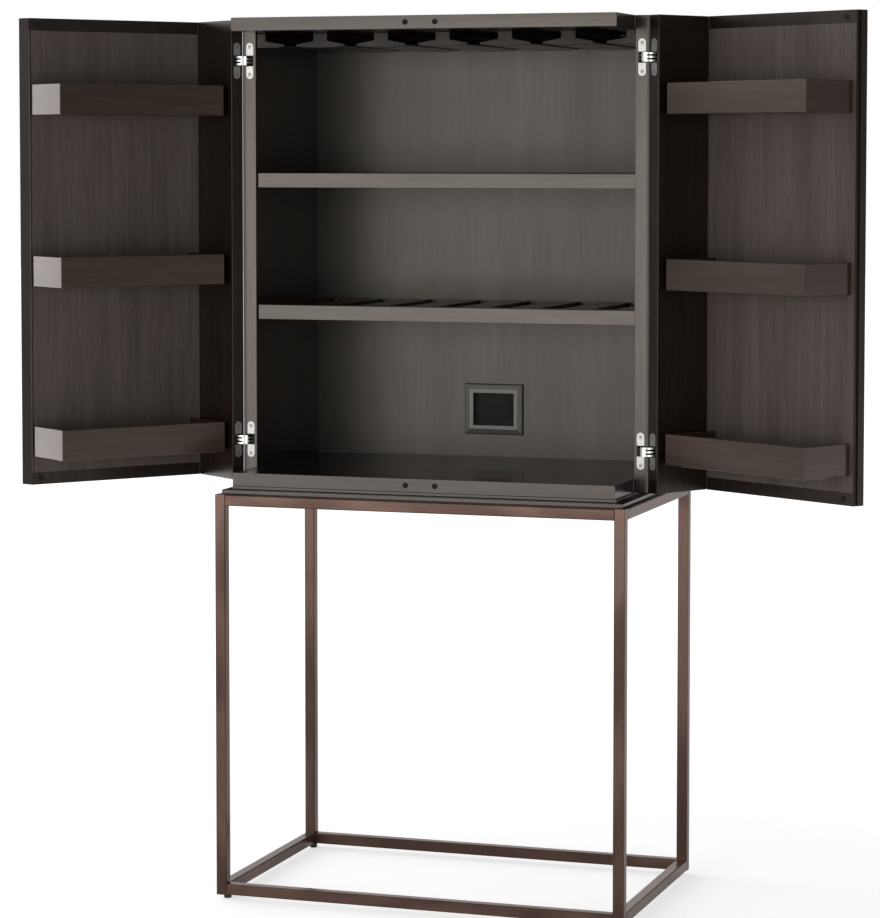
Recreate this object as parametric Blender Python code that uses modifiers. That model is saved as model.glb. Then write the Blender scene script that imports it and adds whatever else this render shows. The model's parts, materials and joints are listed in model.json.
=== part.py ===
"""Wine cabinet on an open square-tube stand, with two L-shaped bottle doors standing open.

Metres, +Z up. X runs across the front, Y runs to the back, and the floor is Z = 0.
The carcass is built flush with the stand. Each door is a front panel mitred to a side return
and swings on two mortised link hinges whose common axis lies on the outer arris of the side.
"""

from math import cos, pi, radians, sin

import bmesh
import bpy
from mathutils import Matrix, Vector

# Overall sizes of the closed cabinet
CABINET_WIDTH = 0.816
CABINET_DEPTH = 0.502
CABINET_HEIGHT = 1.700
SEAM = 0.0003

# Stand: square tube, legs capped above, rails between them, a plugged glide under each corner
STAND_HEIGHT = 0.787
TUBE = 0.0215
TUBE_WALL = 0.0015
TUBE_ROUND = 0.002
GLIDE_HEIGHT = 0.009
GLIDE_RADIUS = 0.0075
GLIDE_INSET = 0.017
GLIDE_ROUND = 0.0012
GLIDE_FLANGE = 0.001
GLIDE_PLUG_LENGTH = 0.014

# Plinth board with a raised, set-back field that leaves a shadow gap under the carcass
PLINTH_THICKNESS = 0.008
PLINTH_SIDE_INSET = 0.0085
PLINTH_FRONT_INSET = 0.015
SHADOW_GAP = 0.0063
SHADOW_SETBACK = 0.022

# Carcass boards
BOARD = 0.0255
BOARD_ROUND = 0.0008
BACK_THICKNESS = 0.009
HINGE_PLANE = 0.1556
DOOR_SIDE_GAP = 0.0012
DOOR_FACE_GAP = 0.0011

# Shelves, at shares of the clear bay's height, and the stopped slots that bottles lie in
SHELF_THICKNESS = 0.0285
SHELF_SETBACK = 0.007
UPPER_SHELF_SHARE = 0.6795
BOTTLE_SHELF_SHARE = 0.3755
SLOT_COUNT = 7
SLOT_PITCH = 0.104
SLOT_WIDTH = 0.045
SLOT_LIP = 0.030
SLOT_ROUND = 0.006

# Stemware rails: inverted T profiles under the top, half profiles at the walls
RAIL_COUNT = 5
RAIL_PITCH = 0.125
RAIL_SLOT = 0.024
RAIL_STEM = 0.029
RAIL_WALL_STEM = 0.019
RAIL_DROP = 0.029
RAIL_ROOT = 0.014
RAIL_TIP = 0.005
RAIL_TIP_RISE = 0.0025
RAIL_TIP_RUN = 0.022
RAIL_SETBACK = 0.0045
RAIL_ROUND = 0.0015

# Cable port in the back: sloped frame on the inside, tub through the back panel
PORT_WIDTH = 0.123
PORT_HEIGHT = 0.103
PORT_BAY_SHARE = 1 / 3
PORT_BORDER = 0.0185
PORT_EDGE = 0.002
PORT_CHAMFER = 0.003
PORT_RISE = 0.002
PORT_SLOPE = 0.0125
PORT_FLOOR = 0.0015
PORT_TUB_WALL = 0.0015

# Doors
DOOR_CENTRE_GAP = 0.003
DOOR_BAND = 0.024
DOOR_BAND_STEP = 0.0008
EDGE_REBATE_WIDTH = 0.009
EDGE_REBATE_DEPTH = 0.003
EDGE_SPLAY = 0.009
LEFT_OPENING = radians(127.4)
RIGHT_OPENING = radians(148.2)

# Bottle trays on the doors
TRAY_NAMES = ("bottom", "middle", "top")
TRAY_ROOM_BELOW = 0.055
TRAY_ROOM_ABOVE = 0.1266
TRAY_HEIGHT = 0.059
TRAY_REACH = 0.120
TRAY_BOARD = 0.012
TRAY_FLOOR = 0.010
TRAY_END_INSET = 0.012

# Mortised link hinges
HINGE_INSET = 0.0788
HINGE_GAP = 0.0015
AXIS_OUT = 0.00075
LEAF_HEIGHT = 0.070
LEAF_WIDTH = 0.0145
LEAF_THICKNESS = 0.003
LEAF_EDGE = 0.0055
CUP_HEIGHT = 0.026
CUP_DEPTH = 0.009
WINDOW_RIM = 0.0015
SCREW_HOLE_RADIUS = 0.0022
SCREW_SINK = 0.0014
SCREW_SINK_RUNOUT = 0.0003
SCREW_SPACING = 0.054
LINK_RADIUS = 0.017
LINK_THICKNESS = 0.002
LINK_REACH = radians(78.0)
LINK_STEPS = 13
LINK_HUB_STEPS = 3
LINK_HUB_HEIGHT = 0.017
LINK_PLATES = 5
LINK_SEAT = 0.0003
LINK_CLEARANCE = 0.0006
LINK_END_CLEARANCE = radians(2.0)
ARC_STEP = radians(6.0)

# Facets of round forms
ROUND_SEGMENTS = 16
ROUND_PROFILE = 0.5
TUBE_SEGMENTS = 2
SLOT_SEGMENTS = 3
EASE_ANGLE = radians(30.0)
FACING = 0.5

# Places worked out from the sizes above
HALF_WIDTH = CABINET_WIDTH / 2
INNER_HALF_WIDTH = HALF_WIDTH - BOARD
BODY_BOTTOM = STAND_HEIGHT + PLINTH_THICKNESS + SHADOW_GAP + 2 * SEAM
BODY_HEIGHT = CABINET_HEIGHT - BODY_BOTTOM
BAY_BOTTOM = BODY_BOTTOM + BOARD
BAY_TOP = CABINET_HEIGHT - BOARD
BAY_HEIGHT = BAY_TOP - BAY_BOTTOM
UPPER_SHELF_TOP = BAY_BOTTOM + UPPER_SHELF_SHARE * BAY_HEIGHT
BOTTLE_SHELF_TOP = BAY_BOTTOM + BOTTLE_SHELF_SHARE * BAY_HEIGHT
LOWER_BAY_HEIGHT = BOTTLE_SHELF_TOP - SHELF_THICKNESS - BAY_BOTTOM
PORT_CENTRE_HEIGHT = BAY_BOTTOM + PORT_BAY_SHARE * LOWER_BAY_HEIGHT
TRAY_FIRST = BODY_BOTTOM + TRAY_ROOM_BELOW
TRAY_LAST = CABINET_HEIGHT - TRAY_ROOM_ABOVE - TRAY_HEIGHT
TRAY_PITCH = (TRAY_LAST - TRAY_FIRST) / (len(TRAY_NAMES) - 1)
HINGE_HEIGHTS = {"lower": BODY_BOTTOM + HINGE_INSET, "upper": CABINET_HEIGHT - HINGE_INSET}
BACK_PLANE = CABINET_DEPTH - BACK_THICKNESS
SIDE_FRONT = HINGE_PLANE + HINGE_GAP / 2
PANEL_FRONT = BOARD + DOOR_FACE_GAP
AXIS_X = HALF_WIDTH + AXIS_OUT
DOOR_REACH = AXIS_X - DOOR_CENTRE_GAP / 2
DOOR_INNER = HINGE_PLANE - BOARD
RETURN_INNER = AXIS_OUT + BOARD
OPENINGS = {"left": LEFT_OPENING, "right": RIGHT_OPENING}
SIDES = {"left": -1, "right": 1}


def swung(across, forward, opening):
    """Place, from its hinge axis, of a door point once the right-hand door has opened."""
    return (
        -across * cos(opening) + forward * sin(opening),
        -across * sin(opening) - forward * cos(opening),
    )


# The frame's origin is the middle of the open cabinet's footprint on the floor
RIGHT_END = AXIS_X + swung(DOOR_REACH, HINGE_PLANE, RIGHT_OPENING)[0]
LEFT_END = -AXIS_X - swung(DOOR_REACH, HINGE_PLANE, LEFT_OPENING)[0]
TRAY_CORNER = swung(DOOR_REACH - TRAY_END_INSET, DOOR_INNER - TRAY_REACH, LEFT_OPENING)
FRONT_END = HINGE_PLANE + TRAY_CORNER[1]
FRAME_SHIFT = Vector((-(RIGHT_END + LEFT_END) / 2, -(FRONT_END + CABINET_DEPTH) / 2, 0.0))

WOOD = (0.030, 0.022, 0.018)
LINING = (0.045, 0.034, 0.029)
BRONZE = (0.120, 0.080, 0.064)
NICKEL = (0.780, 0.760, 0.720)
BLACK = (0.012, 0.012, 0.012)

for old in list(bpy.data.objects):
    bpy.data.objects.remove(old, do_unlink=True)

parts = bpy.data.collections.new("wine_cabinet")
cutters = bpy.data.collections.new("cutters")
bpy.context.scene.collection.children.link(parts)
bpy.context.scene.collection.children.link(cutters)


def finish(name, colour, roughness, metallic):
    """One Principled material for one piece."""
    made = bpy.data.materials.new(name)
    made.use_nodes = True
    shader = made.node_tree.nodes["Principled BSDF"]
    shader.inputs["Base Color"].default_value = (*colour, 1.0)
    shader.inputs["Roughness"].default_value = roughness
    shader.inputs["Metallic"].default_value = metallic
    return made


FINISHES = {
    "wood": (WOOD, 0.45, 0.0),
    "lining": (LINING, 0.50, 0.0),
    "bronze": (BRONZE, 0.38, 0.7),
    "nickel": (NICKEL, 0.22, 1.0),
    "black": (BLACK, 0.55, 0.0),
}


def axis_empty(name, location, turn=0.0, parent=None):
    """An empty that carries pieces, on a joint axis where they move."""
    empty = bpy.data.objects.new(name, None)
    parts.objects.link(empty)
    empty.parent = parent
    empty.location = location
    empty.rotation_euler = (0.0, 0.0, turn)
    return empty


def mesh_from(name, bm):
    """A mesh data block with outward normals."""
    bmesh.ops.recalc_face_normals(bm, faces=bm.faces)
    data = bpy.data.meshes.new(name)
    bm.to_mesh(data)
    bm.free()
    return data


def box(low, high):
    """A box between two corners."""
    low = Vector(low)
    high = Vector(high)
    bm = bmesh.new()
    size = high - low
    place = Matrix.Translation((low + high) / 2) @ Matrix.Diagonal((*size, 1.0))
    bmesh.ops.create_cube(bm, size=1.0, matrix=place)
    return bm


def prism(outline, direction):
    """An outline of points swept along a direction."""
    bm = bmesh.new()
    face = bm.faces.new([bm.verts.new(point) for point in outline])
    swept = bmesh.ops.extrude_face_region(bm, geom=[face])
    moved = [item for item in swept["geom"] if isinstance(item, bmesh.types.BMVert)]
    bmesh.ops.translate(bm, verts=moved, vec=direction)
    return bm


def rod(radius, low, high, centre=(0.0, 0.0), taper=0.0):
    """An upright cylinder, or a cone that loses the taper on its way up."""
    bm = bmesh.new()
    place = Matrix.Translation((*centre, (low + high) / 2))
    bmesh.ops.create_cone(
        bm,
        cap_ends=True,
        segments=ROUND_SEGMENTS,
        radius1=radius,
        radius2=radius - taper,
        depth=high - low,
        matrix=place,
    )
    return bm


def part(name, bm, kind, parent, location=(0.0, 0.0, 0.0)):
    """A named piece with its own finish."""
    obj = bpy.data.objects.new(name, mesh_from(name, bm))
    parts.objects.link(obj)
    obj.data.materials.append(finish(name, *FINISHES[kind]))
    obj.parent = parent
    obj.location = location
    return obj


def cutter(name, bm, parent, location=(0.0, 0.0, 0.0)):
    """A shape that is only used to add to or cut from a piece."""
    obj = bpy.data.objects.new(name, mesh_from(name, bm))
    cutters.objects.link(obj)
    obj.parent = parent
    obj.location = location
    obj.hide_render = True
    obj.display_type = "WIRE"
    return obj


def combine(obj, other, operation="DIFFERENCE"):
    """Add a Boolean to a piece."""
    boolean = obj.modifiers.new(other.name, "BOOLEAN")
    boolean.operation = operation
    boolean.solver = "EXACT"
    boolean.object = other


def ease(obj, width, segments=2):
    """Ease the sharp edges of a piece."""
    bevel = obj.modifiers.new("eased_edges", "BEVEL")
    bevel.width = width
    bevel.segments = segments
    bevel.limit_method = "ANGLE"
    bevel.angle_limit = EASE_ANGLE


def round_edges(bm, along, longer, width, segments):
    """Round the edges of a shape that run along one direction."""
    edges = [edge for edge in bm.edges if abs((edge.verts[0].co - edge.verts[1].co)[along]) > longer]
    bmesh.ops.bevel(
        bm,
        geom=edges,
        offset=width,
        segments=segments,
        profile=ROUND_PROFILE,
        affect="EDGES",
    )


cabinet = axis_empty("cabinet", FRAME_SHIFT)


# Stand
def tube_wall(obj):
    """Give a skin of tube its wall, inwards."""
    wall = obj.modifiers.new("tube_wall", "SOLIDIFY")
    wall.thickness = TUBE_WALL
    wall.offset = -1.0
    wall.use_even_offset = True


def tube_rail(name, low, high, along):
    """A rail of square tube, open at both ends."""
    bm = box(low, high)
    ends = [face for face in bm.faces if abs(face.calc_center_median()[along] - low[along]) < SEAM]
    ends += [face for face in bm.faces if abs(face.calc_center_median()[along] - high[along]) < SEAM]
    bmesh.ops.delete(bm, geom=ends, context="FACES_ONLY")
    round_edges(bm, along, TUBE, TUBE_ROUND, TUBE_SEGMENTS)
    tube_wall(part(name, bm, "bronze", cabinet))


def tube_leg(name, corner_x, corner_y, inward_x, inward_y):
    """A leg of square tube, capped above and open below, and the glide whose plug closes it."""
    left = min(corner_x, corner_x + inward_x * TUBE)
    front = min(corner_y, corner_y + inward_y * TUBE)
    bm = box((left, front, GLIDE_HEIGHT), (left + TUBE, front + TUBE, STAND_HEIGHT))
    lower = [face for face in bm.faces if face.normal.z < -FACING]
    bmesh.ops.delete(bm, geom=lower, context="FACES_ONLY")
    round_edges(bm, 2, TUBE, TUBE_ROUND, TUBE_SEGMENTS)
    tube_wall(part(f"stand_leg_{name}", bm, "bronze", cabinet))
    centre = (corner_x + inward_x * GLIDE_INSET, corner_y + inward_y * GLIDE_INSET)
    glide = part(f"glide_{name}", rod(GLIDE_RADIUS, 0.0, GLIDE_HEIGHT - SEAM, centre), "black", cabinet)
    ease(glide, GLIDE_ROUND)
    bore = TUBE_WALL + SEAM
    low = (left + bore, front + bore, GLIDE_HEIGHT - GLIDE_FLANGE)
    high = (left + TUBE - bore, front + TUBE - bore, GLIDE_HEIGHT + GLIDE_PLUG_LENGTH)
    combine(glide, cutter(f"glide_plug_{name}", box(low, high), cabinet), "UNION")


def stand():
    """Four legs with their glides, four top rails and four base rails."""
    for side, sign in SIDES.items():
        tube_leg(f"front_{side}", sign * HALF_WIDTH, 0.0, -sign, 1)
        tube_leg(f"back_{side}", sign * HALF_WIDTH, CABINET_DEPTH, -sign, -1)
    across = HALF_WIDTH - TUBE - SEAM
    levels = {"base": GLIDE_HEIGHT, "top": STAND_HEIGHT - TUBE}
    for level, bottom in levels.items():
        for place, front in {"front": 0.0, "back": CABINET_DEPTH - TUBE}.items():
            low = (-across, front, bottom)
            high = (across, front + TUBE, bottom + TUBE)
            tube_rail(f"stand_{level}_rail_{place}", low, high, 0)
        for side, sign in SIDES.items():
            edge = sign * (HALF_WIDTH - TUBE / 2)
            low = (edge - TUBE / 2, TUBE + SEAM, bottom)
            high = (edge + TUBE / 2, CABINET_DEPTH - TUBE - SEAM, bottom + TUBE)
            tube_rail(f"stand_{level}_rail_{side}", low, high, 1)


# Carcass
def plinth():
    """Board on the stand, with a set-back raised field that carries the carcass."""
    reach = HALF_WIDTH - PLINTH_SIDE_INSET
    bottom = STAND_HEIGHT + SEAM
    top = bottom + PLINTH_THICKNESS
    bm = box((-reach, PLINTH_FRONT_INSET, bottom), (reach, CABINET_DEPTH - PLINTH_SIDE_INSET, top))
    upper = [face for face in bm.faces if face.normal.z > FACING]
    bmesh.ops.inset_region(bm, faces=upper, thickness=SHADOW_SETBACK)
    swept = bmesh.ops.extrude_face_region(bm, geom=upper)
    bmesh.ops.delete(bm, geom=upper, context="FACES_ONLY")
    raised = [item for item in swept["geom"] if isinstance(item, bmesh.types.BMVert)]
    bmesh.ops.translate(bm, verts=raised, vec=(0.0, 0.0, SHADOW_GAP))
    ease(part("plinth_board", bm, "wood", cabinet), BOARD_ROUND, 1)


def carcass_panel(name, bottom):
    """Top or bottom panel: between the sides at the back, a little narrower between the doors."""
    wide = INNER_HALF_WIDTH - SEAM
    narrow = INNER_HALF_WIDTH - DOOR_SIDE_GAP
    outline = [
        (-narrow, PANEL_FRONT, bottom),
        (narrow, PANEL_FRONT, bottom),
        (narrow, SIDE_FRONT, bottom),
        (wide, SIDE_FRONT, bottom),
        (wide, CABINET_DEPTH, bottom),
        (-wide, CABINET_DEPTH, bottom),
        (-wide, SIDE_FRONT, bottom),
        (-narrow, SIDE_FRONT, bottom),
    ]
    ease(part(name, prism(outline, (0.0, 0.0, BOARD)), "wood", cabinet), BOARD_ROUND / 2)


def side_panel(side):
    """Carcass side behind the hinge plane."""
    edges = sorted((SIDES[side] * INNER_HALF_WIDTH, SIDES[side] * HALF_WIDTH))
    bm = box((edges[0], SIDE_FRONT, BODY_BOTTOM), (edges[1], CABINET_DEPTH, CABINET_HEIGHT))
    panel = part(f"side_panel_{side}", bm, "wood", cabinet)
    ease(panel, BOARD_ROUND)
    return panel


def back_panel():
    """Back between the sides, with the opening for the cable port."""
    reach = INNER_HALF_WIDTH - SEAM
    bm = box((-reach, BACK_PLANE, BAY_BOTTOM + SEAM), (reach, CABINET_DEPTH, BAY_TOP - SEAM))
    back = part("back_panel", bm, "lining", cabinet)
    half_width = PORT_WIDTH / 2 - PORT_BORDER + PORT_TUB_WALL + SEAM
    half_height = PORT_HEIGHT / 2 - PORT_BORDER + PORT_TUB_WALL + SEAM
    low = (-half_width, BACK_PLANE - BACK_THICKNESS, PORT_CENTRE_HEIGHT - half_height)
    high = (half_width, CABINET_DEPTH + BACK_THICKNESS, PORT_CENTRE_HEIGHT + half_height)
    combine(back, cutter("port_opening", box(low, high), cabinet))


def cable_port():
    """Chamfered, sloped frame inside the bay with a closed tub that reaches through the back panel."""
    half_width = PORT_WIDTH / 2
    half_height = PORT_HEIGHT / 2
    seat = BACK_PLANE - SEAM
    low = (-half_width, seat - PORT_EDGE, PORT_CENTRE_HEIGHT - half_height)
    high = (half_width, seat, PORT_CENTRE_HEIGHT + half_height)
    bm = box(low, high)
    face = [item for item in bm.faces if item.normal.y < -FACING]
    for width, rise in ((PORT_CHAMFER, PORT_CHAMFER), (PORT_SLOPE, PORT_RISE)):
        bmesh.ops.inset_region(bm, faces=face, thickness=width)
        bmesh.ops.translate(bm, verts=face[0].verts, vec=(0.0, -rise, 0.0))
    port = part("cable_port", bm, "wood", cabinet)
    tub_half_width = half_width - PORT_BORDER
    tub_half_height = half_height - PORT_BORDER
    wall = PORT_TUB_WALL
    low = (-tub_half_width - wall, seat - PORT_EDGE / 2, PORT_CENTRE_HEIGHT - tub_half_height - wall)
    high = (tub_half_width + wall, CABINET_DEPTH - SEAM, PORT_CENTRE_HEIGHT + tub_half_height + wall)
    combine(port, cutter("port_tub", box(low, high), cabinet), "UNION")
    front = seat - 2 * (PORT_EDGE + PORT_CHAMFER + PORT_RISE)
    low = (-tub_half_width, front, PORT_CENTRE_HEIGHT - tub_half_height)
    high = (tub_half_width, CABINET_DEPTH - SEAM - PORT_FLOOR, PORT_CENTRE_HEIGHT + tub_half_height)
    combine(port, cutter("port_recess", box(low, high), cabinet))


# Shelves
def shelf(name, top):
    """A shelf between the sides, up to the back panel."""
    reach = INNER_HALF_WIDTH - SEAM
    low = (-reach, HINGE_PLANE + SHELF_SETBACK, top - SHELF_THICKNESS)
    high = (reach, BACK_PLANE - SEAM, top)
    board = part(name, box(low, high), "wood", cabinet)
    ease(board, BOARD_ROUND)
    return board


def bottle_shelf():
    """Shelf with stopped slots from front to back, one for each lying bottle."""
    board = shelf("bottle_shelf", BOTTLE_SHELF_TOP)
    front = HINGE_PLANE + SHELF_SETBACK + SLOT_LIP
    rear = BACK_PLANE - SEAM - SLOT_LIP
    for number in range(SLOT_COUNT):
        middle = (number - (SLOT_COUNT - 1) / 2) * SLOT_PITCH
        low = (middle - SLOT_WIDTH / 2, front, BOTTLE_SHELF_TOP - 2 * SHELF_THICKNESS)
        high = (middle + SLOT_WIDTH / 2, rear, BOTTLE_SHELF_TOP + SHELF_THICKNESS)
        bm = box(low, high)
        round_edges(bm, 2, SHELF_THICKNESS, SLOT_ROUND, SLOT_SEGMENTS)
        combine(board, cutter(f"bottle_slot_{number + 1}", bm, cabinet))


# Stemware rails
RAIL_FLANGE = (RAIL_PITCH - RAIL_SLOT) / 2
RAIL_TOP = BAY_TOP - SEAM
RAIL_BOTTOM = BAY_TOP - RAIL_DROP


def flange_half(stem, reach):
    """Half outline of a rail, from the stem's top round the flange's tip to its flat underside."""
    return [
        (stem, RAIL_TOP),
        (stem, RAIL_BOTTOM + RAIL_ROOT),
        (reach, RAIL_BOTTOM + RAIL_TIP_RISE + RAIL_TIP),
        (reach, RAIL_BOTTOM + RAIL_TIP_RISE),
        (reach - RAIL_TIP_RUN, RAIL_BOTTOM),
    ]


def glass_rail(name, outline):
    """A rail that hangs stem glasses by their feet, run back to the back panel."""
    front = HINGE_PLANE + RAIL_SETBACK
    points = [(across, front, height) for across, height in outline]
    rail = part(name, prism(points, (0.0, BACK_PLANE - SEAM - front, 0.0)), "wood", cabinet)
    ease(rail, RAIL_ROUND)


def glass_rails():
    """Full rails across the bay and a half rail at each wall."""
    half = flange_half(RAIL_STEM / 2, RAIL_FLANGE)
    for number in range(RAIL_COUNT):
        middle = (number - (RAIL_COUNT - 1) / 2) * RAIL_PITCH
        right = [(middle + across, height) for across, height in half]
        left = [(middle - across, height) for across, height in reversed(half)]
        glass_rail(f"glass_rail_{number + 1}", right + left)
    wall = INNER_HALF_WIDTH - SEAM
    last_tip = (RAIL_COUNT - 1) / 2 * RAIL_PITCH + RAIL_FLANGE
    half = flange_half(RAIL_WALL_STEM, wall - last_tip - RAIL_SLOT)
    for side, sign in SIDES.items():
        outline = [(sign * (wall - across), height) for across, height in half]
        outline += [(sign * wall, RAIL_BOTTOM), (sign * wall, RAIL_TOP)]
        glass_rail(f"glass_rail_wall_{side}", outline)


# Doors, drawn closed about their hinge axis: across towards the middle, forward to the front
def door_point(side, across, forward, height):
    """Place of a closed-door point from its hinge axis."""
    return (-SIDES[side] * across, -forward, height)


def door_outline(side, corners, bottom):
    """Plan outline of a door board at its bottom edge."""
    return [door_point(side, across, forward, bottom) for across, forward in corners]


def door_box(side, low, high):
    """Box in a door, from its near and far corners."""
    ends = [door_point(side, *low), door_point(side, *high)]
    return box([min(pair) for pair in zip(*ends)], [max(pair) for pair in zip(*ends)])


def door_front(side, axis):
    """Front panel, mitred to the return, with rebates for the carcass edges.

    The left panel's free edge is splayed. The right panel's has a narrow rebate at the back.
    """
    splay = EDGE_SPLAY if side == "left" else 0.0
    corners = [
        (AXIS_OUT, HINGE_PLANE),
        (DOOR_REACH, HINGE_PLANE),
        (DOOR_REACH - splay, DOOR_INNER),
        (RETURN_INNER, DOOR_INNER),
    ]
    bm = prism(door_outline(side, corners, BODY_BOTTOM), (0.0, 0.0, BODY_HEIGHT))
    panel = part(f"door_front_{side}", bm, "lining", axis)
    ease(panel, BOARD_ROUND)
    start = RETURN_INNER + 2 * BOARD_ROUND
    for edge, bottom in {"bottom": BODY_BOTTOM - BOARD, "top": CABINET_HEIGHT - DOOR_BAND}.items():
        low = (start, DOOR_INNER - BOARD, bottom)
        high = (DOOR_REACH + BOARD, DOOR_INNER + DOOR_BAND_STEP, bottom + BOARD + DOOR_BAND)
        combine(panel, cutter(f"door_band_{edge}_{side}", door_box(side, low, high), axis))
    if side == "right":
        low = (DOOR_REACH - EDGE_REBATE_DEPTH, DOOR_INNER - BOARD, BODY_BOTTOM - BOARD)
        high = (DOOR_REACH + BOARD, DOOR_INNER + EDGE_REBATE_WIDTH, CABINET_HEIGHT + BOARD)
        combine(panel, cutter(f"door_edge_rebate_{side}", door_box(side, low, high), axis))


def door_return(side, axis):
    """Side return of the door, mitred in front."""
    edge = HINGE_GAP / 2
    corners = [
        (AXIS_OUT, HINGE_PLANE - SEAM),
        (RETURN_INNER, DOOR_INNER - SEAM),
        (RETURN_INNER, edge),
        (AXIS_OUT, edge),
    ]
    bm = prism(door_outline(side, corners, BODY_BOTTOM), (0.0, 0.0, BODY_HEIGHT))
    board = part(f"door_return_{side}", bm, "wood", axis)
    ease(board, BOARD_ROUND)
    return board


def door_trays(side, axis):
    """Three bottle trays: a front and two ends in one bent rail, and a floor between them."""
    near = RETURN_INNER + TRAY_END_INSET
    far = DOOR_REACH - TRAY_END_INSET
    back = DOOR_INNER - SEAM
    front = DOOR_INNER - TRAY_REACH
    corners = [
        (near, back),
        (near, front),
        (far, front),
        (far, back),
        (far - TRAY_BOARD, back),
        (far - TRAY_BOARD, front + TRAY_BOARD),
        (near + TRAY_BOARD, front + TRAY_BOARD),
        (near + TRAY_BOARD, back),
    ]
    for number, place in enumerate(TRAY_NAMES):
        bottom = TRAY_FIRST + number * TRAY_PITCH
        bm = prism(door_outline(side, corners, bottom), (0.0, 0.0, TRAY_HEIGHT))
        ease(part(f"door_tray_{place}_{side}", bm, "wood", axis), BOARD_ROUND, 1)
        low = (near + TRAY_BOARD + SEAM, front + TRAY_BOARD + SEAM, bottom)
        high = (far - TRAY_BOARD - SEAM, back, bottom + TRAY_FLOOR)
        floor = part(f"door_tray_floor_{place}_{side}", door_box(side, low, high), "wood", axis)
        ease(floor, BOARD_ROUND, 1)


# Hinges, drawn about the axis: across into the board, depth away from the meeting plane
def stadium(side, centre, half_width, half_height, near, far):
    """Plate with round ends, between two depths."""
    points = []
    for number in range(ROUND_SEGMENTS + 1):
        turn = pi * number / ROUND_SEGMENTS
        points.append((centre + half_width * cos(turn), half_height - half_width + half_width * sin(turn)))
    points += [(2 * centre - across, -height) for across, height in points]
    outline = [door_point(side, across, near, height) for across, height in points]
    return prism(outline, (0.0, near - far, 0.0))


def sector(side, inner, outer, start, end, bottom, top):
    """Ring sector about the axis; turns run from the carcass to the door."""
    count = max(2, round((end - start) / ARC_STEP))
    turns = [start + (end - start) * number / count for number in range(count + 1)]
    points = [(outer * cos(turn), outer * sin(turn)) for turn in turns]
    points += [(inner * cos(turn), inner * sin(turn)) for turn in reversed(turns)]
    outline = [door_point(side, across, forward, bottom) for across, forward in points]
    return prism(outline, (0.0, 0.0, top - bottom))


LEAF_MIDDLE = AXIS_OUT + LEAF_EDGE + LEAF_WIDTH / 2
WINDOW_NEAR = LEAF_MIDDLE - LEAF_WIDTH / 2 + WINDOW_RIM
WINDOW_FAR = LINK_RADIUS + LINK_THICKNESS / 2 + LINK_SEAT
WINDOW_HALF_HEIGHT = LINK_HUB_HEIGHT / 2 + LINK_SEAT


def leaf_shape(side, into, grow):
    """Plate and cup of a hinge leaf, grown for the pocket they sit in; into is 1 in the door."""
    near = into * (HINGE_GAP / 2 - (BOARD_ROUND if grow else 0.0))
    far = into * (HINGE_GAP / 2 + LEAF_THICKNESS + grow)
    half_width = LEAF_WIDTH / 2 + grow
    plate = stadium(side, LEAF_MIDDLE, half_width, LEAF_HEIGHT / 2 + grow, near, far)
    cup_far = into * (HINGE_GAP / 2 + CUP_DEPTH + grow)
    low = (LEAF_MIDDLE - half_width, near, -CUP_HEIGHT / 2 - grow)
    high = (LEAF_MIDDLE + half_width, cup_far, CUP_HEIGHT / 2 + grow)
    return plate, door_box(side, low, high)


def hinge_leaf(name, side, into, board, parent, location):
    """One leaf: two countersunk tabs with an open cup between them, let into its board."""
    plate, cup = leaf_shape(side, into, 0.0)
    leaf = part(name, plate, "nickel", parent, location)
    combine(leaf, cutter(f"{name}_cup", cup, parent, location), "UNION")
    low = (WINDOW_NEAR, -into * CUP_DEPTH, -WINDOW_HALF_HEIGHT)
    high = (WINDOW_FAR, into * 2 * CUP_DEPTH, WINDOW_HALF_HEIGHT)
    combine(leaf, cutter(f"{name}_window", door_box(side, low, high), parent, location))
    depth = HINGE_GAP / 2 + SCREW_SINK
    taper = depth + SCREW_SINK_RUNOUT
    for end, sign in {"low": -1, "high": 1}.items():
        place = Matrix.Translation(door_point(side, LEAF_MIDDLE, 0.0, sign * SCREW_SPACING / 2))
        place @= Matrix.Rotation(into * pi / 2, 4, "X")
        hole = rod(SCREW_HOLE_RADIUS, -CUP_DEPTH, CUP_DEPTH)
        sink = rod(SCREW_HOLE_RADIUS + depth, 0.0, taper, taper=taper)
        for shape, bm in {"hole": hole, "sink": sink}.items():
            bm.transform(place)
            combine(leaf, cutter(f"{name}_{shape}_{end}", bm, parent, location))
    pocket_plate, pocket_cup = leaf_shape(side, into, SEAM)
    start, end = sorted((0.0, into * (LINK_REACH + LINK_END_CLEARANCE)))
    arc = sector(
        side,
        LINK_RADIUS - LINK_THICKNESS / 2 - LINK_CLEARANCE,
        LINK_RADIUS + LINK_THICKNESS / 2 + LINK_CLEARANCE,
        start,
        end,
        -WINDOW_HALF_HEIGHT,
        WINDOW_HALF_HEIGHT,
    )
    for shape, bm in {"plate": pocket_plate, "cup": pocket_cup, "arc": arc}.items():
        combine(board, cutter(f"{name}_pocket_{shape}", bm, parent, location))


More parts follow.
